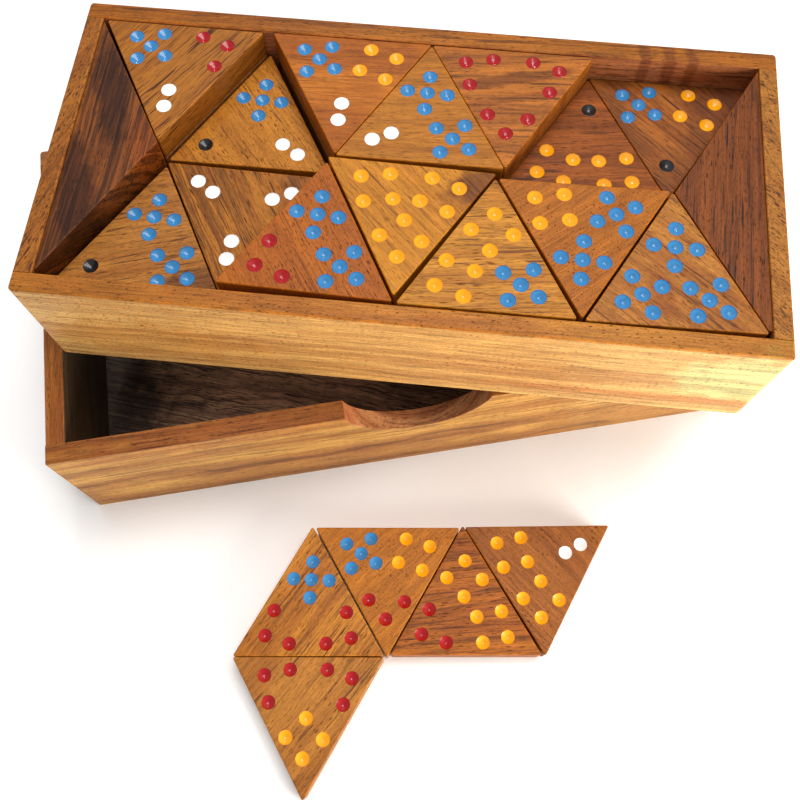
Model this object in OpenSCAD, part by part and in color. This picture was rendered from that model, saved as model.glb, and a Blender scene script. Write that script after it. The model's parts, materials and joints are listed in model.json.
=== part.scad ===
// Triangular domino game: fifty-six three-cornered wooden tiles stacked four
// deep in a tray, with a deeper case that the tray drops into for storage.
// The tray stands turned across the case's rim, and five tiles are laid out
// in front. Millimetres, +Z up, origin on the ground under the case's centre.

/* [Tiles] */
// Side of each three-cornered tile
tile_side = 54.5; // [51:0.5:54.5]
// Thickness of each tile
tile_t = 10; // [8:0.5:10]
// Diameter of each drilled and painted pip
pip_d = 5; // [3.5:0.25:5.5]
// Depth of each pip's drill-point hollow
pip_depth = 1.3; // [0.6:0.1:2]
// Distance from a tile's centre to the middle of each corner's cluster of pips
pip_mid = 11.5; // [10.5:0.25:12]
// Step between pips in a cluster, along the corner's bisector and to each side
pip_step = 6.6; // [6:0.1:6.8]
// Turn of each cluster from the drilling fence, in degrees
pip_skew = -3; // [-6:0.5:6]
// Sideways offset of each cluster from the corner's bisector
pip_side = -0.2; // [-0.6:0.1:0.6]

/* [Tray] */
// Length of the tray outside
tray_l = 234.5; // [234.5:0.5:236]
// Width of the tray outside
tray_w = 112.5; // [112.5:0.5:114]
// Height of the tray
tray_h = 47; // [46.5:0.5:52]
// Thickness of the tray's front and back rails
tray_wall = 6.5; // [5.5:0.25:6.5]
// Thickness of the tray's end boards
tray_end = 6; // [5:0.25:6]
// Thickness of the tray's floor board
tray_floor_t = 6.5; // [4:0.5:6.5]
// Height of the corner-filling wedges above the floor board
wedge_h = 39.8; // [30:0.2:39.8]
// How far each wedge reaches in from its end wall
wedge_reach = 28.25; // [24:0.25:28.25]
// How far the wedges' points sit off the tray's middle line
wedge_skew = 1.6; // [0:0.1:1.6]

/* [Case] */
// Length of the case outside
case_l = 250.6; // [250.6:0.2:256]
// Width of the case outside
case_w = 127.6; // [127.6:0.2:132]
// Height of the case
case_h = 56; // [52:0.5:70]
// Thickness of the case's walls
case_wall = 6.8; // [5:0.2:6.8]
// Thickness of the case's floor board
case_floor_t = 6.5; // [4:0.5:6.5]
// Radius of the thumb notch in the front wall
notch_r = 26.5; // [16:0.5:30]
// Depth of the thumb notch below the rim
notch_depth = 20; // [10:0.5:24]
// Sideways place of the thumb notch from the middle
notch_x = 1.5; // [-10:0.5:10]
// Rounding of the outer edges and corners
ease = 1.6; // [0.5:0.1:2]

/* [Arrangement] */
// Turn of the tray across the case
tray_turn = -15; // [-18:1:-12]
// Tray's centre along the case
tray_x = 9.6; // [6:0.2:12]
// Tray's centre across the case
tray_y = 0.4; // [-2:0.2:2]

/* [Hidden] */
$fn = 48;
tile_h = tile_side * sqrt(3) / 2;      // point to opposite side
tile_r = tile_side / sqrt(3);          // centre to a corner
tray_in_l = tray_l - 2 * tray_end;
tray_in_w = tray_w - 2 * tray_wall;
case_in_l = case_l - 2 * case_wall;
case_in_w = case_w - 2 * case_wall;
notch_z = case_h - notch_depth + notch_r;  // centre of the notch's arc

// Wood tones
honey = [0.76, 0.48, 0.23];
amber = [0.67, 0.38, 0.16];
umber = [0.47, 0.26, 0.12];

// How each column of tiles sits in its loose place, left to right:
// [along the tray, across the tray, turn in degrees]
back_play = [[-1.2, 2.2, -0.3], [-0.2, 1.9, 0], [1.9, 2.3, 0], [1.95, 2, 0],
             [2, 2.15, 0], [2.05, 1.95, 0], [2.1, 2.3, 0]];
front_play = [[-0.85, -0.5, -1], [-0.75, 0.35, -1.3], [-1, -0.6, -1.5], [-0.7, 0.65, -1.35],
              [-0.65, -1.7, 0], [0.3, -1.45, 0.6], [1.1, -1.5, 0.85]];

// Pip counts at a tile's corners, going round anticlockwise from the corner
// on the tile's own midline. Every count set from 000 to 555 is used once.
bottom_back = [[0,0,0], [0,0,1], [0,0,2], [0,0,3], [0,0,4], [0,0,5], [0,1,1]];
bottom_front = [[0,1,2], [0,1,3], [0,1,4], [0,1,5], [0,2,2], [0,2,3], [0,2,4]];

// ---- shared shapes ----

// Rounded-corner column that gives a box its eased upright edges
module column(l, w, h, r) {
  linear_extrude(h) union() {
    square([l - 2 * r, w], center = true);
    square([l, w - 2 * r], center = true);
    for (x = [-1, 1], y = [-1, 1])
      translate([x * (l / 2 - r), y * (w / 2 - r)]) circle(r);
  }
}

// Cutter that rounds a bottom edge lying along X with the solid on its +Y side
module edge_cutter(len, r) {
  rotate([0, 90, 0]) translate([0, 0, -len / 2]) difference() {
    translate([-r, -1, 0]) cube([r + 1, r + 1, len]);
    translate([-r, r, -1]) cylinder(r = r, h = len + 2);
  }
}

// Cuts the rounded upright corners and bottom edges of an l by w box into its boards
module box_board(l, w, h, r) {
  difference() {
    intersection() {
      column(l, w, h, r);
      children();
    }
    for (k = [0, 1]) rotate(180 * k) translate([0, -w / 2, 0]) edge_cutter(l + 4, r);
    for (k = [0, 1]) rotate(90 + 180 * k) translate([0, -l / 2, 0]) edge_cutter(w + 4, r);
  }
}

// Everything in the tray, from the tray's own centre and underside
module in_tray() {
  translate([tray_x, tray_y, case_h]) rotate(tray_turn) children();
}

// Places of the pips for a count n, from the middle of a corner's cluster
function pip_places(n) =
  let (a = pip_step, s = pip_step)
  n == 1 ? [[a, 0]] :
  n == 2 ? [[a, 0], [0, 0]] :
  n == 3 ? [[a, 0], [0, s], [0, -s]] :
  n == 4 ? [[a, 0], [0, s], [0, -s], [-a, 0]] :
  n == 5 ? [[a, 0], [0, s], [0, -s], [-a, 0], [0, 0]] : [];

// One tile standing on z = 0, its first corner towards +Y
module tile(counts) {
  difference() {
    linear_extrude(tile_t)
      polygon([for (k = [0:2]) tile_r * [cos(90 + 120 * k), sin(90 + 120 * k)]]);
    for (k = [0:2], p = pip_places(counts[k]))
      rotate(90 + 120 * k) translate([pip_mid, pip_side, tile_t - pip_depth])
        rotate(pip_skew) translate(p) cylinder(r1 = 0.2, r2 = pip_d / 2 + (pip_d / 2 - 0.2) * 0.2 / pip_depth,
                 h = pip_depth + 0.2);
  }
}

// A tile in the tray: row is 1 at the back or 0 at the front, i runs 1 to 7
// from the left, layer runs 0 to 3 from the floor
module tray_tile(row, i, layer, counts) {
  play = row == 1 ? back_play[i - 1] : front_play[i - 1];
  point_up = (i + row) % 2 == 1;
  cy = (point_up ? tile_h / 3 : 2 * tile_h / 3) - (row == 1 ? 0 : tile_h);
  in_tray()
    translate([(i - 4) * tile_side / 2 + play[0], cy + play[1], tray_floor_t + layer * tile_t])
      rotate(play[2] + (point_up ? 0 : 180)) tile(counts);
}

// ---- case ----

module case_floor() {
  color(umber) translate([-case_in_l / 2, -case_in_w / 2, 0])
    cube([case_in_l, case_in_w, case_floor_t]);
}

module case_front_wall() {
  color(honey) difference() {
    box_board(case_l, case_w, case_h, ease)
      translate([-case_l / 2, -case_w / 2, 0]) cube([case_l, case_wall, case_h]);
    translate([notch_x, -case_w / 2 - 1, notch_z]) rotate([-90, 0, 0])
      cylinder(r = notch_r, h = case_wall + 2, $fn = 96);
  }
}

module case_back_wall() {
  color(honey) box_board(case_l, case_w, case_h, ease)
    translate([-case_l / 2, case_w / 2 - case_wall, 0]) cube([case_l, case_wall, case_h]);
}

module case_left_wall() {
  color(amber) box_board(case_l, case_w, case_h, ease)
    translate([-case_l / 2, -case_in_w / 2, 0]) cube([case_wall, case_in_w, case_h]);
}

module case_right_wall() {
  color(amber) box_board(case_l, case_w, case_h, ease)
    translate([case_l / 2 - case_wall, -case_in_w / 2, 0]) cube([case_wall, case_in_w, case_h]);
}

// ---- tray ----

module tray_floor() {
  color(amber) in_tray() translate([-tray_in_l / 2, -tray_in_w / 2, 0])
    cube([tray_in_l, tray_in_w, tray_floor_t]);
}

module tray_front_rail() {
  color(honey) in_tray() box_board(tray_l, tray_w, tray_h, ease)
    translate([-tray_l / 2, -tray_w / 2, 0]) cube([tray_l, tray_wall, tray_h]);
}

module tray_back_rail() {
  color(honey) in_tray() box_board(tray_l, tray_w, tray_h, ease)
    translate([-tray_l / 2, tray_w / 2 - tray_wall, 0]) cube([tray_l, tray_wall, tray_h]);
}

module tray_left_end() {
  color(amber) in_tray() box_board(tray_l, tray_w, tray_h, ease)
    translate([-tray_l / 2, -tray_in_w / 2, 0]) cube([tray_end, tray_in_w, tray_h]);
}

module tray_right_end() {
  color(amber) in_tray() box_board(tray_l, tray_w, tray_h, ease)
    translate([tray_l / 2 - tray_end, -tray_in_w / 2, 0]) cube([tray_end, tray_in_w, tray_h]);
}

module left_wedge() {
  color(umber) in_tray() translate([0, 0, tray_floor_t]) linear_extrude(wedge_h)
    polygon([[-tray_in_l / 2, -tray_in_w / 2 + 1], [-tray_in_l / 2 + wedge_reach, wedge_skew],
             [-tray_in_l / 2, tray_in_w / 2 - 0.4]]);
}

module right_wedge() {
  color(amber) in_tray() translate([0, 0, tray_floor_t]) linear_extrude(wedge_h)
    polygon([[tray_in_l / 2, tray_in_w / 2 - 0.4], [tray_in_l / 2 - wedge_reach, -wedge_skew],
             [tray_in_l / 2 - 1.2, -tray_in_w / 2 + 2.6], [tray_in_l / 2, -tray_in_w / 2 + 2.6]]);
}

// ---- tiles ----

module bottom_layer_tiles() {
  color(honey) {
    for (i = [1:7]) tray_tile(1, i, 0, bottom_back[i - 1]);
    for (i = [1:7]) tray_tile(0, i, 0, bottom_front[i - 1]);
  }
}

module second_back_1_tile() { color(honey) tray_tile(1, 1, 1, [0,2,5]); }
module second_back_2_tile() { color(amber) tray_tile(1, 2, 1, [0,3,3]); }
module second_back_3_tile() { color(honey) tray_tile(1, 3, 1, [0,3,4]); }
module second_back_4_tile() { color(honey) tray_tile(1, 4, 1, [0,3,5]); }
module second_back_5_tile() { color(amber) tray_tile(1, 5, 1, [0,4,4]); }
module second_back_6_tile() { color(honey) tray_tile(1, 6, 1, [0,4,5]); }
module second_back_7_tile() { color(honey) tray_tile(1, 7, 1, [0,5,5]); }
module second_front_1_tile() { color(amber) tray_tile(0, 1, 1, [1,1,1]); }
module second_front_2_tile() { color(honey) tray_tile(0, 2, 1, [1,1,2]); }
module second_front_3_tile() { color(honey) tray_tile(0, 3, 1, [1,1,3]); }
module second_front_4_tile() { color(amber) tray_tile(0, 4, 1, [1,1,4]); }
module second_front_5_tile() { color(honey) tray_tile(0, 5, 1, [1,1,5]); }
module second_front_6_tile() { color(honey) tray_tile(0, 6, 1, [1,2,2]); }
module second_front_7_tile() { color(amber) tray_tile(0, 7, 1, [1,2,3]); }
module third_back_1_tile() { color(honey) tray_tile(1, 1, 2, [1,2,4]); }
module third_back_2_tile() { color(honey) tray_tile(1, 2, 2, [5,1,2]); }
module third_back_3_tile() { color(amber) tray_tile(1, 3, 2, [1,3,3]); }
module third_back_4_tile() { color(honey) tray_tile(1, 4, 2, [1,3,4]); }
module third_back_5_tile() { color(honey) tray_tile(1, 5, 2, [1,3,5]); }
module third_back_6_tile() { color(amber) tray_tile(1, 6, 2, [1,4,4]); }
module third_back_7_tile() { color(honey) tray_tile(1, 7, 2, [1,4,5]); }
module third_front_1_tile() { color(honey) tray_tile(0, 1, 2, [5,1,5]); }
module third_front_2_tile() { color(amber) tray_tile(0, 2, 2, [2,2,2]); }
module third_front_3_tile() { color(honey) tray_tile(0, 3, 2, [2,2,3]); }
module third_front_4_tile() { color(honey) tray_tile(0, 4, 2, [2,2,4]); }
module third_front_5_tile() { color(amber) tray_tile(0, 5, 2, [2,2,5]); }
module third_front_6_tile() { color(honey) tray_tile(0, 6, 2, [2,3,3]); }
module third_front_7_tile() { color(honey) tray_tile(0, 7, 2, [2,3,4]); }
module top_back_1_tile() { color(amber) tray_tile(1, 1, 3, [2,3,5]); }
module top_back_3_tile() { color(honey) tray_tile(1, 3, 3, [2,4,5]); }
module top_back_4_tile() { color(honey) tray_tile(1, 4, 3, [5,2,5]); }
module top_back_5_tile() { color(amber) tray_tile(1, 5, 3, [3,3,3]); }
module top_front_3_tile() { color(honey) tray_tile(0, 3, 3, [5,3,5]); }
module top_front_4_tile() { color(honey) tray_tile(0, 4, 3, [4,4,4]); }
module top_front_5_tile() { color(amber) tray_tile(0, 5, 3, [4,4,5]); }
module top_front_6_tile() { color(honey) tray_tile(0, 6, 3, [5,5,4]); }
module top_front_7_tile() { color(honey) tray_tile(0, 7, 3, [5,5,5]); }

module loose_tile_1() { color(honey) translate([-47.8, -119.3, 0]) rotate(-9.2) tile([5,3,3]); }
module loose_tile_2() { color(amber) translate([-17.3, -108.8, 0]) rotate(170.6) tile([3,4,5]); }
module loose_tile_3() { color(honey) translate([8.4, -128.1, 0]) rotate(-9.3) tile([4,3,4]); }
module loose_tile_4() { color(amber) translate([38.8, -117.4, 0]) rotate(171.4) tile([4,2,4]); }
module loose_tile_5() { color(honey) translate([-53, -150.8, 0]) rotate(170.5) tile([4,3,3]); }

case_floor();
case_front_wall();
case_back_wall();
case_left_wall();
case_right_wall();
tray_floor();
tray_front_rail();
tray_back_rail();
tray_left_end();
tray_right_end();
left_wedge();
right_wedge();
bottom_layer_tiles();
second_back_1_tile();
second_back_2_tile();
second_back_3_tile();
second_back_4_tile();
second_back_5_tile();
second_back_6_tile();
second_back_7_tile();
second_front_1_tile();
second_front_2_tile();
second_front_3_tile();
second_front_4_tile();
second_front_5_tile();
second_front_6_tile();
second_front_7_tile();
third_back_1_tile();
third_back_2_tile();
third_back_3_tile();
third_back_4_tile();
third_back_5_tile();
third_back_6_tile();
third_back_7_tile();
third_front_1_tile();
third_front_2_tile();
third_front_3_tile();
third_front_4_tile();
third_front_5_tile();
third_front_6_tile();
third_front_7_tile();
top_back_1_tile();
top_back_3_tile();
top_back_4_tile();
top_back_5_tile();
top_front_3_tile();
top_front_4_tile();
top_front_5_tile();
top_front_6_tile();
top_front_7_tile();
loose_tile_1();
loose_tile_2();
loose_tile_3();
loose_tile_4();
loose_tile_5();
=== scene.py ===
import json
import math
import random

import bpy
import bmesh
from mathutils import Matrix, Vector
from mathutils.geometry import delaunay_2d_cdt


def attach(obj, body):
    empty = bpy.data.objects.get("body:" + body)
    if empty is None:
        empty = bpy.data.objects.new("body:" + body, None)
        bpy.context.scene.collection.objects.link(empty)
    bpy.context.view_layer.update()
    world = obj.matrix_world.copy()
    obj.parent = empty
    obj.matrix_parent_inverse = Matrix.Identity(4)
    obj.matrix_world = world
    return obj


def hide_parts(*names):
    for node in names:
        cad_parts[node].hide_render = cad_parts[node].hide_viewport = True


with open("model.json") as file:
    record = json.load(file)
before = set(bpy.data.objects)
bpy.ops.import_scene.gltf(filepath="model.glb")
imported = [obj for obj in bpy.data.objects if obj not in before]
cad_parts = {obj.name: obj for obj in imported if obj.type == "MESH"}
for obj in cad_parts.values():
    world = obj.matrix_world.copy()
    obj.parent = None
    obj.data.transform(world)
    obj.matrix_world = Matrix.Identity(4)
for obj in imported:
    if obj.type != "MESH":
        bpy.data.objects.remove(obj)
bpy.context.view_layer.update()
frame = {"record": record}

MM = 0.001
scene = bpy.context.scene
NODE_BODY = {n: b for b, ns in frame["record"]["behaviour"]["bodies"].items() for n in ns}

# ------------------------------------------------------------------ sizes, mm
CASE_L, CASE_W, CASE_H, CASE_T, CASE_FLOOR = 250.6, 127.6, 56.0, 6.8, 6.5
NOTCH_R, NOTCH_D, NOTCH_X = 26.5, 20.0, 1.5
TRAY_L, TRAY_W, TRAY_H, RAIL_T, END_T, TRAY_FLOOR = 234.5, 112.5, 47.0, 6.5, 6.0, 6.5
WEDGE_H = 39.8
SIDE, THICK, PIP_R = 54.5, 10.0, 2.5
TILE_H, TILE_R = SIDE * math.sqrt(3) / 2, SIDE / math.sqrt(3)
TRAY = Matrix.Translation((9.6, 0.4, CASE_H)) @ Matrix.Rotation(math.radians(-15), 4, "Z")
FLAT = Matrix.Identity(4)


# ------------------------------------------------------------------ node help
class Tree:
    """Short calls for building a node tree."""

    def __init__(self, tree):
        self.t = tree

    def new(self, kind, **props):
        n = self.t.nodes.new(kind)
        for k, v in props.items():
            setattr(n, k, v)
        return n

    def put(self, socket, value):
        if isinstance(value, bpy.types.NodeSocket):
            self.t.links.new(value, socket)
        else:
            socket.default_value = value

    def math(self, op, a, b=None, c=None, clamp=False):
        n = self.new("ShaderNodeMath", operation=op, use_clamp=clamp)
        for i, v in enumerate((a, b, c)):
            if v is not None:
                self.put(n.inputs[i], v)
        return n.outputs[0]

    def vec(self, op, a, b=None):
        n = self.new("ShaderNodeVectorMath", operation=op)
        self.put(n.inputs[0], a)
        if b is not None:
            self.put(n.inputs[1], b)
        return n.outputs["Value"] if op in ("LENGTH", "DOT_PRODUCT") else n.outputs[0]

    def step(self, x, lo, hi):
        """Smooth 0 to 1 as x goes from lo to hi."""
        n = self.new("ShaderNodeMapRange", interpolation_type="SMOOTHSTEP")
        self.put(n.inputs["Value"], x)
        self.put(n.inputs["From Min"], lo)
        self.put(n.inputs["From Max"], hi)
        return n.outputs["Result"]

    def span(self, x, lo, hi, to_lo, to_hi):
        n = self.new("ShaderNodeMapRange")
        self.put(n.inputs["Value"], x)
        self.put(n.inputs["From Min"], lo)
        self.put(n.inputs["From Max"], hi)
        self.put(n.inputs["To Min"], to_lo)
        self.put(n.inputs["To Max"], to_hi)
        return n.outputs["Result"]

    def mix(self, fac, a, b, mode="MIX"):
        n = self.new("ShaderNodeMix", data_type="RGBA", blend_type=mode)
        self.put(n.inputs[0], fac)
        self.put(n.inputs[6], a)
        self.put(n.inputs[7], b)
        return n.outputs[2]

    def noise(self, vector, scale=1.0, detail=2.0, rough=0.5, dims="3D"):
        n = self.new("ShaderNodeTexNoise", noise_dimensions=dims)
        self.put(n.inputs["W" if dims == "1D" else "Vector"], vector)
        n.inputs["Scale"].default_value = scale
        n.inputs["Detail"].default_value = detail
        n.inputs["Roughness"].default_value = rough
        return n


# ---------------------------------------------------- the wood, one node group
def make_wood_group():
    g = bpy.data.node_groups.new("oiled_hardwood", "ShaderNodeTree")
    side = g.interface
    for name, kind, value in (
        ("Grain", "NodeSocketVector", (0, 0, 0)),
        ("Seed", "NodeSocketVector", (0, 0, 0)),
        ("Pith", "NodeSocketVector", (0, 0, 0)),
        ("Light", "NodeSocketColor", (0.5, 0.25, 0.08, 1)),
        ("Dark", "NodeSocketColor", (0.3, 0.12, 0.03, 1)),
        ("Streak", "NodeSocketColor", (0.08, 0.03, 0.015, 1)),
        ("Bands", "NodeSocketFloat", 0.5),
        ("Band size", "NodeSocketFloat", 1.0),
        ("Streaks", "NodeSocketFloat", 0.4),
        ("Streak size", "NodeSocketFloat", 1.0),
        ("Streak cover", "NodeSocketFloat", 0.5),
        ("Pores", "NodeSocketFloat", 0.5),
        ("Pore length", "NodeSocketFloat", 1.0),
        ("Needles", "NodeSocketFloat", 0.5),
        ("Waves", "NodeSocketFloat", 1.0),
        ("Mottle", "NodeSocketFloat", 0.1),
        ("Edge wear and sheen", "NodeSocketFloat", 0.0),
    ):
        s = side.new_socket(name, in_out="INPUT", socket_type=kind)
        s.default_value = value
    side.new_socket("Color", in_out="OUTPUT", socket_type="NodeSocketColor")
    side.new_socket("Roughness", in_out="OUTPUT", socket_type="NodeSocketFloat")
    side.new_socket("Height", in_out="OUTPUT", socket_type="NodeSocketFloat")
    t = Tree(g)
    i = t.new("NodeGroupInput").outputs
    out = t.new("NodeGroupOutput")
    seeded = t.vec("ADD", i["Grain"], i["Seed"])

    def stretched(u, v, w=None):
        return t.vec("MULTIPLY", seeded, (u, v, v if w is None else w))

    # slow waves that bend the lines of the grain
    slow = t.noise(stretched(0.014, 0.03), detail=1.5)
    shift = t.vec("SUBTRACT", slow.outputs["Color"], (0.5, 0.5, 0.5))
    fine_wave = t.noise(stretched(0.06, 0.11), detail=2)
    shift2 = t.vec("MULTIPLY", t.vec("SUBTRACT", fine_wave.outputs["Color"], (0.5, 0.5, 0.5)), (0, 0.22, 0.22))
    bend = t.vec("ADD", t.vec("MULTIPLY", shift, (0, 1, 1)), shift2)
    scale = t.new("ShaderNodeVectorMath", operation="SCALE")
    t.put(scale.inputs[0], bend)
    t.put(scale.inputs["Scale"], t.math("MULTIPLY", i["Waves"], 14.0))
    bent = t.vec("ADD", t.vec("ADD", i["Grain"], i["Pith"]), scale.outputs[0])
    ring = t.vec("LENGTH", t.vec("MULTIPLY", bent, (0, 1, 1)))

    # growth rings as an uneven one-dimensional pattern of the distance from the pith
    rings = t.noise(t.math("MULTIPLY", ring, t.math("DIVIDE", 0.16, i["Band size"])), detail=3.5, rough=0.55, dims="1D").outputs[0]
    wide = t.noise(stretched(0.011, 0.055), detail=2.5).outputs[0]
    band = t.math("ADD", t.math("MULTIPLY", rings, 0.65), t.math("MULTIPLY", wide, 0.5))
    band = t.step(band, 0.47, 0.68)
    colour = t.mix(t.math("MULTIPLY", band, i["Bands"]), i["Light"], i["Dark"])

    # thin dark lines that follow the rings and fade in and out along the grain
    fine_ring = t.noise(t.math("MULTIPLY", ring, t.math("DIVIDE", 0.62, i["Streak size"])), detail=3, rough=0.62, dims="1D").outputs[0]
    along = t.noise(stretched(0.028, 0.16), detail=3, rough=0.6).outputs[0]
    need = t.math("SUBTRACT", 0.93, t.math("MULTIPLY", i["Streak cover"], 0.5))
    lines = t.step(t.math("ADD", t.math("MULTIPLY", fine_ring, 0.75), t.math("MULTIPLY", along, 0.5)), need, t.math("ADD", need, 0.09))
    thin = t.noise(stretched(0.05, 1.5), detail=2.5, rough=0.6).outputs[0]
    lines = t.math("MULTIPLY", lines, t.span(thin, 0.3, 0.65, 0.35, 1.0), clamp=True)
    colour = t.mix(t.math("MULTIPLY", lines, i["Streaks"]), colour, i["Streak"])

    # needle-thin dark vessels, long along the grain and gathered in patches
    needle = t.noise(stretched(0.05, 1.35), detail=1.5).outputs[0]
    gather = t.noise(stretched(0.018, 0.13), detail=2).outputs[0]
    needles = t.math("MULTIPLY", t.step(needle, 0.59, 0.65), t.span(gather, 0.36, 0.6, 0.15, 1.0), clamp=True)
    colour = t.mix(t.math("MULTIPLY", needles, i["Needles"], clamp=True), colour, i["Streak"])

    # fibres, and the slow shimmer of figured wood
    fibre = t.noise(stretched(0.11, 3.6), detail=2.5, rough=0.6).outputs[0]
    shimmer = t.noise(stretched(0.09, 0.3), detail=3, rough=0.6).outputs[0]
    strand = t.noise(stretched(0.045, 1.1), detail=3, rough=0.65).outputs[0]
    tone = t.math("ADD", t.span(fibre, 0.28, 0.72, 0.72, 1.2), t.math("MULTIPLY", t.math("SUBTRACT", shimmer, 0.5), t.math("MULTIPLY", i["Mottle"], 3.0)))
    tone = t.math("ADD", tone, t.span(strand, 0.3, 0.7, -0.19, 0.17))
    grey = t.new("ShaderNodeCombineColor")
    for k in range(3):
        t.put(grey.inputs[k], tone)
    colour = t.mix(1.0, colour, grey.outputs[0], "MULTIPLY")

    # open pores: short dark dashes along the grain
    cells = t.vec("MULTIPLY", seeded, (0.27, 1.5, 1.5))
    longer = t.new("ShaderNodeCombineXYZ")
    t.put(longer.inputs[0], t.math("DIVIDE", 1.0, i["Pore length"]))
    longer.inputs[1].default_value = longer.inputs[2].default_value = 1.0
    pore = t.new("ShaderNodeTexVoronoi", feature="F1", distance="EUCLIDEAN")
    t.put(pore.inputs["Vector"], t.vec("MULTIPLY", cells, longer.outputs[0]))
    pore.inputs["Scale"].default_value = 1.0
    pick = t.new("ShaderNodeSeparateColor")
    t.put(pick.inputs[0], pore.outputs["Color"])
    reach = t.span(pick.outputs[0], 0.15, 1.0, 0.08, 0.42)
    dash = t.math("SUBTRACT", 1.0, t.step(pore.outputs["Distance"], t.math("MULTIPLY", reach, 0.5), reach))
    patches = t.noise(stretched(0.03, 0.12), detail=2).outputs[0]
    dash = t.math("MULTIPLY", dash, t.span(patches, 0.35, 0.6, 0.4, 1.0), clamp=True)
    small = t.new("ShaderNodeTexVoronoi", feature="F1", distance="EUCLIDEAN")
    t.put(small.inputs["Vector"], t.vec("ADD", t.vec("MULTIPLY", t.vec("MULTIPLY", seeded, (0.5, 2.7, 2.7)), longer.outputs[0]), (7.3, 1.9, 4.1)))
    small.inputs["Scale"].default_value = 1.0
    tiny = t.math("SUBTRACT", 1.0, t.step(small.outputs["Distance"], 0.16, 0.4))
    deep = t.math("MULTIPLY", t.math("MAXIMUM", dash, t.math("MULTIPLY", tiny, 0.5)), i["Pores"], clamp=True)
    colour = t.mix(deep, colour, i["Streak"])

    # the eased edges are paler and smoother: partly handling wear, partly a painted highlight along the rounded
    # arrises
    rub = t.noise(stretched(0.25, 0.5), detail=3, rough=0.65).outputs[0]
    worn_and_sheen = t.math("MULTIPLY", i["Edge wear and sheen"], t.step(rub, 0.38, 0.66))
    pale = t.mix(0.34, colour, i["Light"])
    pale = t.mix(1.0, pale, (1.22, 1.16, 1.08, 1), "MULTIPLY")
    colour = t.mix(worn_and_sheen, colour, pale)

    rough = t.math("ADD", t.span(fibre, 0.3, 0.7, 0.54, 0.42), t.math("MULTIPLY", deep, 0.22))
    rough = t.math("SUBTRACT", rough, t.math("MULTIPLY", worn_and_sheen, 0.06), clamp=True)
    height = t.math("SUBTRACT", t.math("MULTIPLY", fibre, 0.35), deep)
    height = t.math("SUBTRACT", height, t.math("MULTIPLY", lines, 0.12))
    t.put(out.inputs["Color"], colour)
    t.put(out.inputs["Roughness"], rough)
    t.put(out.inputs["Height"], height)
    return g


WOOD = make_wood_group()
HONEY = dict(light=(0.56, 0.262, 0.078), dark=(0.36, 0.132, 0.035), streak=(0.11, 0.036, 0.014))
AMBER = dict(light=(0.46, 0.178, 0.048), dark=(0.30, 0.096, 0.026), streak=(0.10, 0.03, 0.012))
UMBER = dict(light=(0.30, 0.125, 0.045), dark=(0.16, 0.06, 0.024), streak=(0.05, 0.02, 0.011))


# red, green and blue shares fitted per piece over its tone: partly the piece's own wood colour, partly painted light
# and shade where these lamps light a piece brighter or darker than wanted, strongest on the case floor inside the box
TONE_AND_LIGHT_SHARE = {
    "case_floor": (2.137, 3.067, 4.542),
    "case_front": (0.969, 1.043, 0.725),
    "case_left": (0.875, 0.733, 0.403),
    "left_wedge": (0.703, 0.474, 0.182),
    "loose_tile_1": (0.841, 0.667, 0.221),
    "loose_tile_2": (0.924, 0.778, 0.144),
    "loose_tile_3": (0.804, 0.593, 0.124),
    "loose_tile_4": (0.679, 0.549, 0.224),
    "loose_tile_5": (0.731, 0.606, 0.289),
    "right_wedge": (0.46, 0.271, 0.07),
    "third_back_2": (0.803, 0.616, 0.135),
    "third_back_6": (0.966, 0.557, 0.091),
    "third_back_7": (0.407, 0.248, 0.091),
    "third_front_1": (0.72, 0.592, 0.307),
    "third_front_2": (0.728, 0.541, 0.146),
    "top_back_1": (0.63, 0.469, 0.151),
    "top_back_3": (0.916, 0.685, 0.136),
    "top_back_4": (0.867, 0.785, 0.213),
    "top_back_5": (1.452, 1.066, 0.312),
    "top_front_3": (0.82, 0.552, 0.095),
    "top_front_4": (0.908, 0.733, 0.136),
    "top_front_5": (0.902, 0.775, 0.233),
    "top_front_6": (0.831, 0.641, 0.109),
    "top_front_7": (0.775, 0.632, 0.282),
    "tray_back": (1.17, 1.067, 1.385),
    "tray_front": (1.149, 1.404, 1.493),
    "tray_left": (0.651, 0.475, 0.182),
    "tray_right": (0.689, 0.564, 0.26),
}
# painted light and shade on these boards' top faces: from the given height in mm up, the colour is multiplied by the
# share
TOP_FACE_LIGHT_SHADE = {
    "case_front": (56.0, (0.619, 0.444, 0.362)),
    "tray_back": (103.0, (0.632, 0.562, 0.105)),
    "tray_front": (103.0, (0.699, 0.468, 0.17)),
}
# the notch in the case's front is a cut across the grain with its own colour; the entry for the case's left wall is
# painted shade on its inner face, inside the box
CROSS_CUT_AND_INNER_SHADE = {
    "case_front": ((1.5, 0, 62.5), (1, 0, 1), 26.5, (0.97, 0.8, 1.45)),
    "case_left": ((-100, 0, 0), (1, 0, 0), 18.5, (0.27, 0.55, 1.9)),
}


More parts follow.
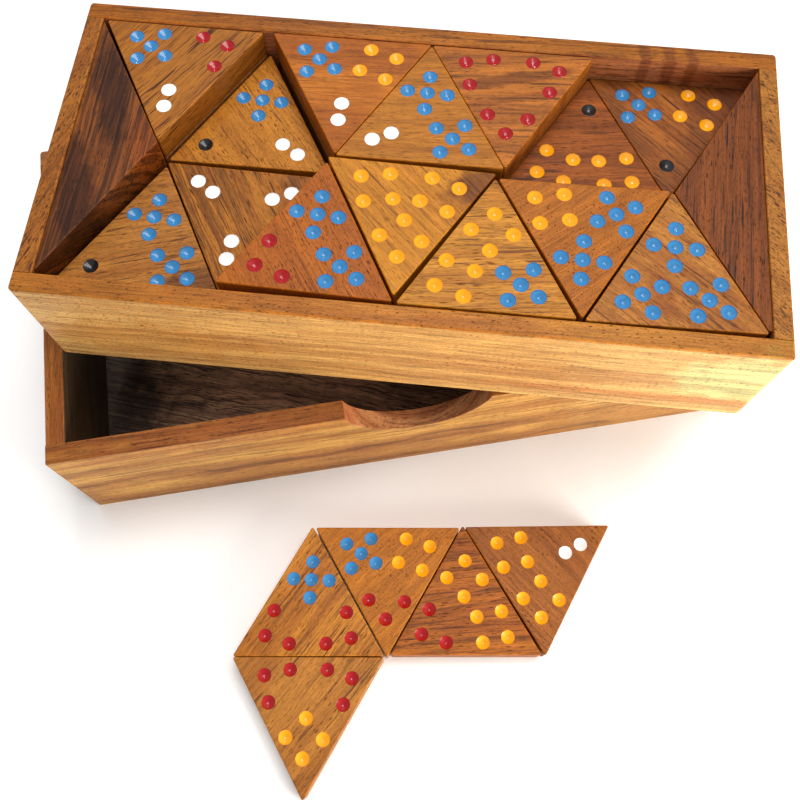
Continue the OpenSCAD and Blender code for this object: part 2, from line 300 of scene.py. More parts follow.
def wood(name, centre, along, across=(0, 0, 1), seed=0, pith=(0, 14, 26), tone=HONEY, gain=1.0, bands=0.6, band_size=1.0,
         streaks=0.5, streak_size=1.0, cover=0.5, pores=0.5, pore_length=1.0, needles=0.5, waves=1.0, mottle=0.1,
         patches=(), **own):
    """One piece's wood: along is the way its fibres run and across a way not far from square to them. patches are
    places where the colour is shifted, each (middle in mm, reach in mm, red green blue share): some are the wood's own
    drift, some are painted light and shade."""
    rnd = random.Random(f"{name}{seed}")
    u = Vector(along).normalized()
    w = u.cross(Vector(across)).normalized()
    v = w.cross(u).normalized()
    turn = Matrix((u, v, w))
    mat = bpy.data.materials.new("wood_" + name)
    mat.use_nodes = True
    t = Tree(mat.node_tree)
    t.t.nodes.clear()
    place = t.new("ShaderNodeMapping", vector_type="POINT")
    t.put(place.inputs["Vector"], t.new("ShaderNodeTexCoord").outputs["Object"])
    place.inputs["Scale"].default_value = (1000, 1000, 1000)
    place.inputs["Rotation"].default_value = turn.to_euler("XYZ")
    place.inputs["Location"].default_value = -(turn @ Vector(centre)) * 1.0
    g = t.new("ShaderNodeGroup")
    g.node_tree = WOOD
    t.put(g.inputs["Grain"], place.outputs[0])
    g.inputs["Seed"].default_value = [rnd.uniform(-900, 900) for _ in range(3)]
    g.inputs["Pith"].default_value = pith
    tone = {**tone, **own}
    for key, socket in (("light", "Light"), ("dark", "Dark"), ("streak", "Streak")):
        c, k, tint = tone[key], gain if key != "streak" else 1.0, TONE_AND_LIGHT_SHARE.get(name, (1, 1, 1))
        g.inputs[socket].default_value = (min(c[0] * k * tint[0], 0.93), min(c[1] * k * tint[1], 0.9), min(c[2] * k * tint[2], 0.85), 1)
    for key, value in (("Bands", bands), ("Band size", band_size), ("Streaks", streaks), ("Streak size", streak_size),
                       ("Streak cover", cover), ("Pores", pores), ("Pore length", pore_length), ("Needles", needles), ("Waves", waves), ("Mottle", mottle)):
        g.inputs[key].default_value = value
    edge_wear_and_sheen = t.new("ShaderNodeAttribute", attribute_type="GEOMETRY", attribute_name="edge_wear_and_sheen")
    t.put(g.inputs["Edge wear and sheen"], edge_wear_and_sheen.outputs["Fac"])
    shader = t.new("ShaderNodeBsdfPrincipled")
    colour = g.outputs["Color"]
    if name in TOP_FACE_LIGHT_SHADE:  # painted light and shade: the top edge gets its own colour share against the face, for the tray's shadow on the case's rim and for lamps lighting a rail's face more than its top
        height, tint = TOP_FACE_LIGHT_SHADE[name]
        z = t.new("ShaderNodeSeparateXYZ")
        t.put(z.inputs[0], t.new("ShaderNodeTexCoord").outputs["Object"])
        colour = t.mix(t.step(z.outputs[2], (height - 0.8) * MM, (height - 0.1) * MM), colour, t.mix(1.0, colour, (*tint, 1), "MULTIPLY"))
    if name in CROSS_CUT_AND_INNER_SHADE:  # a cut across the grain takes the oil differently, and on the case's left wall the inner face inside the box is darkened as painted shade
        middle, share, reach, tint = CROSS_CUT_AND_INNER_SHADE[name]
        off = t.vec("SUBTRACT", t.new("ShaderNodeTexCoord").outputs["Object"], tuple(q * MM for q in middle))
        off = t.vec("LENGTH", t.vec("MULTIPLY", off, share))
        inside = t.math("SUBTRACT", 1.0, t.step(off, (reach + 0.1) * MM, (reach + 0.4) * MM))
        colour = t.mix(inside, colour, t.mix(1.0, colour, (*tint, 1), "MULTIPLY"))
    if patches:
        here = t.new("ShaderNodeTexCoord").outputs["Object"]
        drift = t.noise(place.outputs[0], scale=0.16, detail=3, rough=0.6).outputs[0]
    for middle, reach, tint in patches:
        near = t.vec("SUBTRACT", here, tuple(q * MM for q in middle))
        away = t.vec("LENGTH", t.vec("MULTIPLY", near, tuple(1 / (q * MM) for q in reach)))
        away = t.math("ADD", away, t.math("MULTIPLY", t.math("SUBTRACT", drift, 0.5), 1.2))
        amount = t.math("SUBTRACT", 1.0, t.step(away, 0.55, 1.15))
        colour = t.mix(amount, colour, t.mix(1.0, colour, (*tint, 1), "MULTIPLY"))
    t.put(shader.inputs["Base Color"], colour)
    t.put(shader.inputs["Roughness"], g.outputs["Roughness"])
    bump = t.new("ShaderNodeBump")
    bump.inputs["Strength"].default_value = 0.55
    bump.inputs["Distance"].default_value = 0.00011
    t.put(bump.inputs["Height"], g.outputs["Height"])
    t.put(shader.inputs["Normal"], bump.outputs[0])
    shader.inputs["IOR"].default_value = 1.46
    shader.inputs["Specular IOR Level"].default_value = 0.2
    t.put(t.new("ShaderNodeOutputMaterial").inputs[0], shader.outputs[0])
    return mat


def paint(name, colour, deep, rough=0.3):
    """Gloss enamel dabbed into a drilled pip, pooled in the middle; darker at the lip, partly from thin paint and
    partly as painted shade of the hollow's rim.
    """
    mat = bpy.data.materials.new("paint_" + name)
    mat.use_nodes = True
    t = Tree(mat.node_tree)
    t.t.nodes.clear()
    place = t.new("ShaderNodeTexCoord").outputs["Object"]
    depth = t.new("ShaderNodeAttribute", attribute_type="GEOMETRY", attribute_name="pool").outputs["Fac"]
    blot = t.noise(place, scale=900.0, detail=2).outputs[0]
    grain = t.noise(place, scale=4200.0, detail=2).outputs[0]
    # darker at the lip: partly thin paint, partly painted shade of the hollow's rim
    lip_thin_and_shade = t.math("SUBTRACT", 1.0, t.step(t.math("ADD", depth, t.math("MULTIPLY", blot, 0.12)), 0.06, 0.3))
    thin = t.math("ADD", t.math("MULTIPLY", lip_thin_and_shade, 0.7), t.math("MULTIPLY", t.step(blot, 0.45, 0.75), 0.3), clamp=True)
    shader = t.new("ShaderNodeBsdfPrincipled")
    t.put(shader.inputs["Base Color"], t.mix(thin, (*colour, 1), (*deep, 1)))
    t.put(shader.inputs["Roughness"], t.span(grain, 0.3, 0.7, rough - 0.07, rough + 0.09))
    bump = t.new("ShaderNodeBump")
    bump.inputs["Strength"].default_value = 0.35
    bump.inputs["Distance"].default_value = 0.00006
    t.put(bump.inputs["Height"], t.math("ADD", blot, t.math("MULTIPLY", grain, 0.25)))
    t.put(shader.inputs["Normal"], bump.outputs[0])
    shader.inputs["Specular IOR Level"].default_value = 0.25
    shader.inputs["Coat Weight"].default_value = 0.55
    shader.inputs["Coat Roughness"].default_value = 0.1
    t.put(t.new("ShaderNodeOutputMaterial").inputs[0], shader.outputs[0])
    return mat


PAINTS = {
    1: paint("black", (0.012, 0.011, 0.012), (0.006, 0.005, 0.005), 0.3),
    2: paint("white", (0.93, 0.93, 0.92), (0.84, 0.83, 0.80), 0.38),
    3: paint("red", (0.36, 0.003, 0.006), (0.22, 0.002, 0.004), 0.3),
    4: paint("yellow", (0.88, 0.36, 0.001), (0.74, 0.26, 0.001), 0.36),
    5: paint("blue", (0.036, 0.215, 0.46), (0.014, 0.105, 0.31), 0.3),
}


# --------------------------------------------------------------------- meshes
def finish_piece(name, mesh, mats, nodes):
    for m in mats:
        mesh.materials.append(m)
    obj = bpy.data.objects.new(name, mesh)
    scene.collection.objects.link(obj)
    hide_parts(*nodes)
    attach(obj, NODE_BODY[nodes[0]])
    return obj


def board(name, outline, plane, lo, hi, frame_m, radius, node, mat, segments=4):
    """A board cut to outline and extruded from lo to hi, its edges eased by radius(middle, direction) mm.
    plane "xy" extrudes up, "xz" extrudes along Y."""
    biggest = 2.0
    bm = bmesh.new()
    area = sum(a[0] * b[1] - b[0] * a[1] for a, b in zip(outline, outline[1:] + outline[:1]))
    if (area > 0) != (plane == "xy"):
        outline = outline[::-1]

    def at(p, q):
        return Vector((p[0], p[1], q)) if plane == "xy" else Vector((p[0], q, p[1]))

    low = [bm.verts.new(at(p, lo)) for p in outline]
    high = [bm.verts.new(at(p, hi)) for p in outline]
    bm.faces.new(low[::-1])
    bm.faces.new(high)
    for k in range(len(outline)):
        j = (k + 1) % len(outline)
        bm.faces.new((low[k], low[j], high[j], high[k]))
    bmesh.ops.recalc_face_normals(bm, faces=bm.faces)
    weight = bm.edges.layers.float.new("bevel_weight_edge")
    for e in bm.edges:
        if e.calc_face_angle(0) < math.radians(20):
            continue
        mid = (e.verts[0].co + e.verts[1].co) / 2
        way = (e.verts[1].co - e.verts[0].co).normalized()
        e[weight] = min(1.0, radius(mid, way) / biggest)
    bm.transform(Matrix.Scale(MM, 4) @ frame_m)
    raw = bpy.data.meshes.new(name + "_raw")
    bm.to_mesh(raw)
    bm.free()
    raw.materials.append(mat)
    raw.materials.append(mat)
    for p in raw.polygons:
        p.use_smooth = True
    tmp = bpy.data.objects.new(name + "_raw", raw)
    scene.collection.objects.link(tmp)
    bevel = tmp.modifiers.new("ease", "BEVEL")
    bevel.width, bevel.segments, bevel.limit_method, bevel.material = biggest * MM, segments, "WEIGHT", 1
    bevel.offset_type = "OFFSET"
    mesh = bpy.data.meshes.new_from_object(tmp.evaluated_get(bpy.context.evaluated_depsgraph_get()))
    bpy.data.objects.remove(tmp)
    # mask of the eased edges, for handling wear and a painted highlight along them
    edge_wear_and_sheen = mesh.attributes.new("edge_wear_and_sheen", "FLOAT", "CORNER")
    for p in mesh.polygons:
        for c in p.loop_indices:
            edge_wear_and_sheen.data[c].value = float(p.material_index)
        p.use_smooth = p.material_index == 1
        p.material_index = 0
    mesh.materials.clear()
    return finish_piece(name, mesh, [mat], [node])


def rect(x0, x1, y0, y1):
    return [(x0, y0), (x1, y0), (x1, y1), (x0, y1)]


def box_edges(length, width, height, skin, joint=0.1):
    """How much to ease each edge of a box's board: the box's outside edges and rim by hand, the joints between boards hardly."""

    def radius(mid, way):
        edge_x, edge_y = abs(abs(mid.x) - length / 2) < 0.2, abs(abs(mid.y) - width / 2) < 0.2
        if abs(way.z) > 0.9:  # upright
            return 1.6 if edge_x and edge_y else joint
        if mid.z < 0.2:
            return 1.6 if edge_x or edge_y else joint
        if mid.z > height - 0.2:
            outer = edge_x if abs(way.y) > 0.5 else edge_y
            end = edge_y if abs(way.y) > 0.5 else edge_x
            inner = abs(mid.x) < length / 2 - skin - 1 if abs(way.x) > 0.5 else abs(mid.y) < width / 2 - skin - 1
            return 0.75 if outer or end else (0.55 if inner else joint)
        return 0.7  # round the thumb notch

    return radius


PIP_RINGS = ((2.5, 0.0), (2.46, 0.035), (2.36, 0.1), (2.0, 0.285), (1.5, 0.545), (1.0, 0.795), (0.55, 0.985), (0.22, 1.07))
PIP_SEGMENTS, PIP_DEPTH = 32, 1.09


PIP_MID, PIP_STEP, PIP_SKEW, PIP_SIDE = 11.5, 6.6, -3.0, -0.2


def pip_places(n, corner):
    """Places of a corner's n pips, from the tile's centre."""
    s = PIP_STEP
    plan = [[], [(s, 0)], [(s, 0), (0, 0)], [(s, 0), (0, s), (0, -s)], [(s, 0), (0, s), (0, -s), (-s, 0)],
            [(s, 0), (0, s), (0, -s), (-s, 0), (0, 0)]][n]
    m = (Matrix.Rotation(math.radians(90 + 120 * corner), 4, "Z") @ Matrix.Translation((PIP_MID, PIP_SIDE, 0))
         @ Matrix.Rotation(math.radians(PIP_SKEW), 4, "Z"))
    return [m @ Vector((x, y, 0)) for x, y in plan]


def add_tile(bm, frame_m, counts, paints, grow=0.0):
    """Adds one three-cornered tile to bm, in mm: eased edges, drilled and painted pips. paints maps a count to its
    material index."""
    # mask of the eased edges, for handling wear and a painted highlight along them
    edge_wear_and_sheen = bm.loops.layers.float.get("edge_wear_and_sheen") or bm.loops.layers.float.new("edge_wear_and_sheen")
    pool = bm.loops.layers.float.get("pool") or bm.loops.layers.float.new("pool")
    ease, corner, steps = 0.42, 0.6, 6
    tips = [-90, -60, -30, 0, 0, 30, 60, 90]
    loops = []
    for r, tip in enumerate(tips):
        e = math.radians(tip)
        inset, z = ease - ease * math.cos(e), (ease if r < 4 else THICK - ease) + ease * math.sin(e)
        ring = []
        for k in range(3):
            d = math.radians(90 + 120 * k)
            for q in range(steps + 1):
                a = d + math.radians(-60 + 120 * q / steps)
                x = (TILE_R + 2 * grow - 2 * corner) * math.cos(d) + (corner - inset) * math.cos(a)
                y = (TILE_R + 2 * grow - 2 * corner) * math.sin(d) + (corner - inset) * math.sin(a)
                ring.append(bm.verts.new(frame_m @ Vector((x, y, z))))
        loops.append(ring)
    n = len(loops[0])

    def face(verts, flat_face=False, w=0.0, depth=None, material=0):
        f = bm.faces.new(verts)
        f.material_index = material
        f.smooth = not flat_face
        for k, c in enumerate(f.loops):
            c[edge_wear_and_sheen] = w
            c[pool] = depth[k] if depth else 0.0
        return f

    face(loops[0][::-1], True)
    for r in range(len(loops) - 1):
        low, high = loops[r], loops[r + 1]
        for k in range(n):
            j = (k + 1) % n
            face((low[k], low[j], high[j], high[k]), r == 3 and k % (steps + 1) == steps, w=0.0 if r == 3 else 1.0)
    # the pips' places, and the face around them
    pips = [(c, paints[counts[k]]) for k in range(3) for c in pip_places(counts[k], k)]
    back = frame_m.inverted()
    flat = [(p.x, p.y) for p in (back @ v.co for v in loops[-1])]
    verts = list(loops[-1])
    edges = [(k, (k + 1) % n) for k in range(n)]
    rims = []
    for centre, _ in pips:
        start = len(flat)
        rim = []
        for q in range(PIP_SEGMENTS):
            a = 2 * math.pi * q / PIP_SEGMENTS
            x, y = centre.x + PIP_R * math.cos(a), centre.y + PIP_R * math.sin(a)
            flat.append((x, y))
            v = bm.verts.new(frame_m @ Vector((x, y, THICK)))
            verts.append(v)
            rim.append(v)
            edges.append((start + q, start + (q + 1) % PIP_SEGMENTS))
        rims.append(rim)
    if pips:
        found, _, tris, origin, _, _ = delaunay_2d_cdt([Vector(p) for p in flat], edges, [list(range(n))], 1, 1e-7)
        for tri in tris:
            mid = sum((found[k] for k in tri), Vector((0, 0))) / len(tri)
            if any((mid - c.xy).length < PIP_R * 0.985 for c, _ in pips):
                continue
            face([verts[origin[k][0]] for k in tri], True)
    else:
        face(verts, True)
    # each pip's drilled hollow
    for (centre, material), rim in zip(pips, rims):
        last, last_pool = rim, 0.0
        for r, depth in PIP_RINGS[1:]:
            ring = [bm.verts.new(frame_m @ Vector((centre.x + r * math.cos(2 * math.pi * q / PIP_SEGMENTS),
                                                   centre.y + r * math.sin(2 * math.pi * q / PIP_SEGMENTS), THICK - depth)))
                    for q in range(PIP_SEGMENTS)]
            now = 1 - r / PIP_R
            for q in range(PIP_SEGMENTS):
                j = (q + 1) % PIP_SEGMENTS
                face((last[q], last[j], ring[j], ring[q]), depth=(last_pool, last_pool, now, now), material=material)
            last, last_pool = ring, now
        tip = bm.verts.new(frame_m @ Vector((centre.x, centre.y, THICK - PIP_DEPTH)))
        for q in range(PIP_SEGMENTS):
            face((last[q], last[(q + 1) % PIP_SEGMENTS], tip), depth=(last_pool, last_pool, 1.0), material=material)


def tile_piece(name, places, node, wood_mat, grow=0.0):
    """places is a list of (matrix in mm, counts)."""
    used = sorted({c for _, counts in places for c in counts if c})
    bm = bmesh.new()
    for m, counts in places:
        add_tile(bm, m, counts, {c: 1 + used.index(c) for c in used}, grow)
    bmesh.ops.scale(bm, vec=(MM, MM, MM), verts=bm.verts)
    mesh = bpy.data.meshes.new(name)
    bm.to_mesh(mesh)
    bm.free()
    return finish_piece(name, mesh, [wood_mat] + [PAINTS[c] for c in used], [node])


# ----------------------------------------------------------------------- case
def way(degrees, rise=0.0):
    """A direction at an angle in plan, tipped up by rise degrees."""
    a, e = math.radians(degrees), math.radians(rise)
    return (math.cos(a) * math.cos(e), math.sin(a) * math.cos(e), math.sin(e))


case_edges = box_edges(CASE_L, CASE_W, CASE_H, CASE_T)
in_l, in_w = CASE_L / 2 - CASE_T, CASE_W / 2 - CASE_T
board("case_floor_board", rect(-in_l, in_l, -in_w, in_w), "xy", 0, CASE_FLOOR, FLAT, lambda m, w: 0.1,
      "case_floor",
      wood("case_floor", (0, 0, 3), way(-21, 1), (0, 0, 1), seed=3, tone=UMBER, gain=1.05, bands=1.0, band_size=0.5, streaks=0.8, streak_size=0.8,
           cover=0.6, pores=1.5, pore_length=1.6, needles=1.6, waves=1.4, mottle=0.3,
           # painted shade and light inside the case: the floor is darkened near the left wall and lightened further
           # right
           patches=(((-124, -20, 6), (34, 200, 20), (0.2, 0.21, 0.24)), ((-44, -30, 6), (38, 200, 20), (1.55, 1.5, 1.55)))))
half = math.sqrt(NOTCH_R ** 2 - (NOTCH_R - NOTCH_D) ** 2)
notch_z = CASE_H - NOTCH_D + NOTCH_R
first = math.atan2(CASE_H - notch_z, -half)
last = math.atan2(CASE_H - notch_z, half)
if first > 0:
    first -= 2 * math.pi
notch = [(NOTCH_X + NOTCH_R * math.cos(first + (last - first) * k / 56), notch_z + NOTCH_R * math.sin(first + (last - first) * k / 56)) for k in range(57)]
outline = [(-CASE_L / 2, 0), (-CASE_L / 2, CASE_H)] + notch + [(CASE_L / 2, CASE_H), (CASE_L / 2, 0)]
board("case_front_board", outline, "xz", -CASE_W / 2, -CASE_W / 2 + CASE_T, FLAT, case_edges, "case_front_wall",
      wood("case_front", (0, -60, 28), way(0, 0.4), (0, 0, 1), seed=5, pith=(0, 14, 42), tone=HONEY, gain=0.95, bands=0.95, band_size=0.55, streaks=0.7, streak_size=0.8,
           cover=0.5, pores=0.8, needles=0.75, waves=0.35, mottle=0.16,
           # among these patches, the darker band under the rim at the left is a painted shadow of the tray, and the
           # paler right end is painted light
           patches=(((-60, -64, 53), (75, 9, 7), (0.86, 0.72, 0.66)), ((-20, -64, 20), (110, 9, 3), (0.8, 0.7, 0.66)), ((-40, -64, 5), (90, 9, 2.5), (0.85, 0.78, 0.72)),
                    ((90, -64, 30), (34, 9, 60), (1.09, 1.22, 1.5)))))
board("case_back_board", rect(-CASE_L / 2, CASE_L / 2, CASE_W / 2 - CASE_T, CASE_W / 2), "xy", 0, CASE_H, FLAT, case_edges,
      "case_back_wall",
      wood("case_back", (0, 60, 28), way(0, -0.6), (0, 0, 1), seed=6, tone=AMBER, gain=0.8, bands=0.9, band_size=0.7, streaks=0.6, pores=0.8, needles=0.7, waves=0.5))
board("case_left_board", rect(-CASE_L / 2, -in_l, -in_w, in_w), "xy", 0, CASE_H, FLAT, case_edges, "case_left_wall",
      wood("case_left", (-122, 0, 28), way(90, 2), (0, 0, 1), seed=7, tone=AMBER, gain=0.85, bands=0.8, band_size=0.7, streaks=0.5, pores=0.9, needles=0.8, waves=0.5))
board("case_right_board", rect(in_l, CASE_L / 2, -in_w, in_w), "xy", 0, CASE_H, FLAT, case_edges, "case_right_wall",
      wood("case_right", (122, 0, 28), way(90, -2), (0, 0, 1), seed=8, tone=AMBER, gain=0.9, bands=0.8, band_size=0.7, streaks=0.5, pores=0.9, needles=0.8, waves=0.5))

# ----------------------------------------------------------------------- tray
tray_edges = box_edges(TRAY_L, TRAY_W, TRAY_H, RAIL_T)
tl, tw = TRAY_L / 2, TRAY_W / 2
il, iw = tl - END_T, tw - RAIL_T
board("tray_floor_board", rect(-il, il, -iw, iw), "xy", 0, TRAY_FLOOR, TRAY, lambda m, w: 0.1, "tray_floor",
      wood("tray_floor", (9.6, 0, 60), way(-15), (0, 0, 1), seed=11, tone=AMBER, gain=0.8, bands=0.8, needles=0.7, pores=0.8))
board("tray_front_board", rect(-tl, tl, -tw, -iw), "xy", 0, TRAY_H, TRAY, tray_edges, "tray_front_rail",
      wood("tray_front", (0, -53, 80), way(-15, 0.3), (0, 0, 1), seed=12, pith=(0, 34, 10), tone=HONEY, bands=0.75, band_size=0.8, streaks=0.45, cover=0.4, pores=0.95,
           pore_length=0.55, needles=0.45, waves=0.5, mottle=0.16,
           # among these patches, the pale yellow patch at the right end of the front face is a painted highlight, and
           # the darker left end is painted shade
           patches=(((104, -84, 85), (34, 16, 17), (0.92, 1.52, 1.9)), ((70, -75, 66.5), (85, 22, 2.6), (1.0, 0.84, 0.76)), ((60, -73, 59), (90, 22, 3), (1.1, 1.18, 1.2)),
                    ((-85, -33, 76), (60, 16, 14), (0.9, 0.8, 0.68)), ((-20, -50, 80), (110, 36, 40), (1.02, 0.95, 0.86)))))
board("tray_back_board", rect(-tl, tl, iw, tw), "xy", 0, TRAY_H, TRAY, tray_edges, "tray_back_rail",
      wood("tray_back", (20, 53, 80), way(-13, 0.6), (0, 0, 1), seed=13, tone=AMBER, bands=0.75, band_size=0.8, streaks=0.6, pores=1.0, needles=0.7, waves=0.6, mottle=0.18,
           patches=(((94, 32.5, 100), (2.2, 9, 16), (0.66, 0.58, 0.55)), ((102, 30, 100), (2.6, 9, 16), (0.66, 0.58, 0.55)), ((109, 27, 100), (2.2, 9, 16), (0.62, 0.55, 0.52)))))
board("tray_left_board", rect(-tl, -il, -iw, iw), "xy", 0, TRAY_H, TRAY, tray_edges, "tray_left_end",
      wood("tray_left", (-100, 30, 80), way(60, 6), (0, 0, 1), seed=14, tone=HONEY, gain=0.9, bands=0.6, band_size=0.8, streaks=0.6, streak_size=0.7, pores=1.6, pore_length=0.8,
           needles=1.0, waves=0.5))
board("tray_right_board", rect(il, tl, -iw, iw), "xy", 0, TRAY_H, TRAY, tray_edges, "tray_right_end",
      wood("tray_right", (120, -30, 80), way(-56, 8), (0, 0, 1), seed=15, tone=HONEY, gain=0.95, bands=0.55, band_size=0.7, streaks=0.65, streak_size=0.7, cover=0.5, pores=1.6,
           pore_length=0.8, needles=1.0, waves=0.5))
wedge_ease = lambda mid, w: 0.35
board("left_wedge_block", [(-111.25, -48.75), (-83, 1.6), (-111.25, 49.35)], "xy", TRAY_FLOOR, TRAY_FLOOR + WEDGE_H, TRAY, wedge_ease,
      "left_wedge",
      wood("left_wedge", (-90, 20, 90), way(74), (0, 0, 1), seed=16, tone=UMBER, bands=0.9, band_size=0.6, streaks=0.9, streak_size=1.0, cover=0.7, pores=0.9, needles=1.0, waves=0.35,
           patches=(((-84, 46, 95), (6, 28, 40), (0.42, 0.4, 0.5)), ((-97, 6, 95), (7, 30, 40), (0.45, 0.42, 0.5)), ((-72, 22, 95), (9, 17, 40), (1.35, 1.12, 0.85)))))
board("right_wedge_block", [(111.25, 49.35), (83, -1.6), (110.05, -47.15), (111.25, -47.15)], "xy", TRAY_FLOOR, TRAY_FLOOR + WEDGE_H, TRAY,
      wedge_ease, "right_wedge",
      wood("right_wedge", (110, -20, 90), way(72), (0, 0, 1), seed=17, tone=UMBER, gain=1.5, bands=0.6, band_size=0.6, streaks=0.6, streak_size=0.6, cover=0.5, pores=1.0, pore_length=1.1,
           needles=1.0, waves=0.4))

# ---------------------------------------------------------------------- tiles
BACK_PLAY = [(-1.2, 2.2, -0.3), (-0.2, 1.9, 0), (1.9, 2.3, 0), (1.95, 2, 0), (2, 2.15, 0), (2.05, 1.95, 0), (2.1, 2.3, 0)]
FRONT_PLAY = [(-0.85, -0.5, -1), (-0.75, 0.35, -1.3), (-1, -0.6, -1.5), (-0.7, 0.65, -1.35), (-0.65, -1.7, 0), (0.3, -1.45, 0.6), (1.1, -1.5, 0.85)]


def tray_place(row, i, layer):
    play = BACK_PLAY[i - 1] if row else FRONT_PLAY[i - 1]
    up = (i + row) % 2 == 1
    y = (TILE_H / 3 if up else 2 * TILE_H / 3) - (0 if row else TILE_H)
    return (TRAY @ Matrix.Translation(((i - 4) * SIDE / 2 + play[0], y + play[1], TRAY_FLOOR + layer * THICK))
            @ Matrix.Rotation(math.radians(play[2] + (0 if up else 180)), 4, "Z"))


def digits(s):
    return [int(c) for c in s]


LAYERS = [
    ("bottom", ["000", "001", "002", "003", "004", "005", "011"], ["012", "013", "014", "015", "022", "023", "024"]),
    ("second", ["025", "033", "034", "035", "044", "045", "055"], ["111", "112", "113", "114", "115", "122", "123"]),
    ("third", ["124", "512", "133", "134", "135", "144", "145"], ["515", "222", "223", "224", "225", "233", "234"]),
    ("top", ["235", None, "245", "525", "333", None, None], [None, None, "535", "444", "445", "554", "555"]),
]
# how each visible tile's wood looks: fibre direction in plan, then changes to the usual tile
LOOK = {
    "top_back_1": dict(a=41, tone=HONEY, bands=0.45, band_size=0.6, streaks=0.45, streak_size=0.4, cover=0.5, pores=0.9, pore_length=2.0, needles=1.0, waves=0.3),
    "top_back_3": dict(a=-12, tone=AMBER, bands=0.75, band_size=0.9, streaks=0.3, cover=0.3, pores=0.6, needles=0.45, waves=1.1,
                       patches=(((-18, 36, 100), (14, 7, 30), (1.08, 1.12, 1.1)),)),
    "top_back_4": dict(a=-9, tone=AMBER, bands=0.5, band_size=0.7, streaks=0.4, streak_size=0.6, cover=0.4, pores=0.65, needles=0.5, waves=0.5),
    "top_back_5": dict(a=-10, tone=UMBER, bands=0.7, band_size=0.7, streaks=0.5, streak_size=0.8, cover=0.5, pores=0.8, needles=0.75, waves=0.4,
                       patches=(((46, 29, 100), (26, 2.4, 30), (0.55, 0.5, 0.5)), ((48, 21, 100), (24, 2, 30), (0.68, 0.62, 0.62)))),
    "top_front_3": dict(a=-72, tone=AMBER, bands=0.4, streaks=0.25, cover=0.3, pores=0.95, pore_length=0.75, needles=0.5, waves=0.4),
    "top_front_4": dict(a=-60, tone=HONEY, bands=0.4, band_size=2.0, streaks=0.35, streak_size=0.6, cover=0.35, pores=0.6, needles=0.7, waves=0.7,
                        patches=(((30, -10, 100), (13, 7.5, 30), (0.42, 0.34, 0.36)), ((24, -15, 100), (9, 10, 30), (0.78, 0.7, 0.66)))),
    "top_front_5": dict(a=-8, tone=HONEY, bands=0.55, band_size=0.5, streaks=0.55, streak_size=0.6, cover=0.55, pores=0.9, pore_length=1.4, needles=0.9, waves=0.4),
    "top_front_6": dict(a=25, tone=AMBER, bands=0.35, band_size=1.2, streaks=0.15, cover=0.3, pores=1.0, pore_length=0.3, needles=0.15, mottle=0.24),
    "top_front_7": dict(a=-52, tone=HONEY, bands=0.85, band_size=0.9, streaks=0.5, streak_size=1.1, cover=0.4, pores=0.9, needles=0.9, waves=0.35,
                        patches=(((76, -57, 100), (5, 9, 30), (0.78, 0.66, 0.6)), ((99, -46, 100), (5, 12, 30), (0.78, 0.68, 0.62)))),
    "third_back_2": dict(a=-66, tone=HONEY, bands=0.4, streaks=0.25, cover=0.3, pores=1.0, pore_length=0.85, needles=0.75, waves=0.6),
    "third_back_6": dict(a=-9, tone=UMBER, bands=0.7, band_size=0.6, streaks=0.55, streak_size=0.7, cover=0.5, pores=0.8, needles=0.8, waves=0.5),
    "third_back_7": dict(a=-57, tone=HONEY, bands=0.5, band_size=0.6, streaks=0.7, streak_size=0.6, cover=0.5, pores=0.9, pore_length=1.5, needles=1.0, waves=0.3,
                         patches=(((121, 19, 90), (15, 17, 30), (0.72, 0.6, 0.55)), ((96, 16, 90), (10, 24, 30), (1.5, 1.55, 1.4)))),
    "third_front_1": dict(a=2, tone=HONEY, bands=0.6, band_size=0.8, streaks=0.6, streak_size=0.7, cover=0.45, pores=0.9, needles=0.75, waves=0.7,
                          patches=(((-63, -24, 90), (13, 5, 30), (0.5, 0.44, 0.45)),)),
    "third_front_2": dict(a=-73, tone=HONEY, bands=0.7, band_size=0.5, streaks=0.75, streak_size=0.6, cover=0.65, pores=1.0, pore_length=1.6, needles=1.0, waves=0.3),
    "loose_tile_1": dict(a=44, tone=HONEY, bands=0.7, band_size=0.8, streaks=0.7, streak_size=0.8, cover=0.5, pores=0.95, needles=1.0, waves=0.35),
    "loose_tile_2": dict(a=35, tone=AMBER, bands=0.4, band_size=1.2, streaks=0.2, cover=0.3, pores=0.9, pore_length=0.4, needles=0.25, mottle=0.2),
    "loose_tile_3": dict(a=-5, tone=AMBER, bands=0.7, band_size=0.8, streaks=0.7, streak_size=0.9, cover=0.6, pores=0.95, pore_length=1.2, needles=0.9, waves=0.45),
    "loose_tile_4": dict(a=-56, tone=AMBER, bands=0.55, band_size=1.3, streaks=0.4, cover=0.4, pores=1.0, pore_length=0.6, needles=0.5, waves=0.6),
    "loose_tile_5": dict(a=41, tone=HONEY, bands=0.65, band_size=1.2, streaks=0.5, streak_size=0.7, cover=0.4, pores=0.95, pore_length=0.9, needles=0.8, waves=0.35),
}


def tile_wood(key, centre):
    look = dict(LOOK.get(key, {}))
    rnd = random.Random("tile " + key)
    if not look:
        look = dict(a=rnd.uniform(-80, 80), tone=rnd.choice((HONEY, HONEY, AMBER)), gain=rnd.uniform(0.85, 1.05))
    look.setdefault("seed", 1)
    a, rise = look.pop("a"), look.pop("rise", rnd.uniform(-3, 3))
    usual = dict(bands=0.65, streaks=0.5, cover=0.45, pores=0.8, needles=0.6, mottle=0.12, pith=(0, rnd.uniform(10, 40), rnd.uniform(15, 40)))
    return wood(key, centre, way(a, rise), (0, 0, 1), **{**usual, **look})


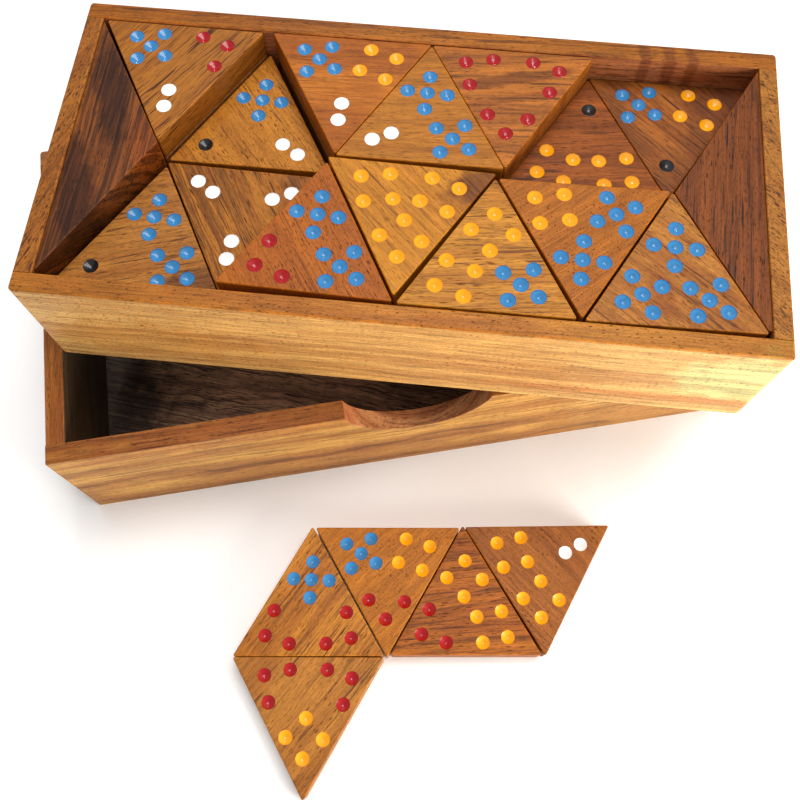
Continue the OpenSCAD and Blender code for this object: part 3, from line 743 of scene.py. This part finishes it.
for level, (layer, back, front) in enumerate(LAYERS):
    group = []
    for row, counts in ((1, back), (0, front)):
        for i, c in enumerate(counts, 1):
            if c is None:
                continue
            m = tray_place(row, i, level)
            if layer == "bottom":
                group.append((m, digits(c)))
                continue
            key = f"{layer}_{'back' if row else 'front'}_{i}"
            tile_piece(key + "_wood", [(m, digits(c))], key + "_tile", tile_wood(key, m.translation))
    if group:
        tile_piece("bottom_layer_wood", group, "bottom_layer_tiles", tile_wood("bottom", (10, 0, 68)))
for key, x, y, turn, c in (("loose_tile_1", -47.8, -119.3, -9.2, "533"), ("loose_tile_2", -17.3, -108.8, 170.6, "345"),
                           ("loose_tile_3", 8.4, -128.1, -9.3, "434"), ("loose_tile_4", 38.8, -117.4, 171.4, "424"),
                           ("loose_tile_5", -53.0, -150.8, 170.5, "433")):
    m = Matrix.Translation((x, y, 0)) @ Matrix.Rotation(math.radians(turn), 4, "Z")
    tile_piece(key + "_wood", [(m, digits(c))], key, tile_wood(key, (x, y, 5)), grow=0.1)

# --------------------------------------------------------------- floor, light
floor = bpy.data.meshes.new("studio_floor")
floor.from_pydata([(-6, -6, -0.00005), (6, -6, -0.00005), (6, 6, -0.00005), (-6, 6, -0.00005)], [], [(0, 1, 2, 3)])
floor = bpy.data.objects.new("studio_floor", floor)
scene.collection.objects.link(floor)
pale = bpy.data.materials.new("pale_floor")
pale.use_nodes = True
pale.node_tree.nodes["Principled BSDF"].inputs["Base Color"].default_value = (0.96, 0.96, 0.96, 1)
pale.node_tree.nodes["Principled BSDF"].inputs["Roughness"].default_value = 0.8
floor.data.materials.append(pale)

world = bpy.data.worlds.new("studio")
scene.world = world
world.use_nodes = True
world.node_tree.nodes["Background"].inputs[0].default_value = (1.0, 1.0, 1.0, 1)
world.node_tree.nodes["Background"].inputs[1].default_value = 0.42


def softbox(name, size, power, place, aim, colour=(1, 1, 1)):
    lamp = bpy.data.lights.new(name, "AREA")
    lamp.shape, lamp.size, lamp.energy, lamp.color = "SQUARE", size, power, colour
    obj = bpy.data.objects.new(name, lamp)
    obj.location = place
    obj.rotation_mode = "QUATERNION"
    obj.rotation_quaternion = (Vector(aim) - Vector(place)).to_track_quat("-Z", "Y")
    scene.collection.objects.link(obj)
    obj.visible_camera = False


softbox("top_box", 0.8, 14.5, (0.22, 0.22, 1.25), (0, -0.02, 0.05), (1.0, 0.99, 0.975))
softbox("side_box", 0.2, 2.4, (0.33, -0.36, 0.12), (0.08, -0.07, 0.07), (1.0, 0.96, 0.88))
softbox("front_box", 0.4, 2.4, (0.1, -0.95, 0.16), (0.0, -0.05, 0.05), (1.0, 0.97, 0.92))
softbox("spark_box", 0.07, 1.6, (0.04, 0.85, 0.95), (0, 0, 0.08))

# ---------------------------------------------------------------------- camera
camera = bpy.data.cameras.new("camera")
camera.sensor_width, camera.lens, camera.clip_start, camera.clip_end = 36, 38.861, 0.01, 20
camera = bpy.data.objects.new("camera", camera)
scene.collection.objects.link(camera)
rows = ((0.9869644298, -0.1609086389, -0.0031022818), (0.1515912676, 0.9229953763, 0.3536942505), (-0.0540490686, -0.3495539231, 0.9353559499))
camera.matrix_world = Matrix.Translation((-0.020522, -0.163787, 0.333466)) @ Matrix(rows).transposed().to_4x4()
scene.camera = camera

scene.view_settings.view_transform = "Standard"
scene.view_settings.look = "None"
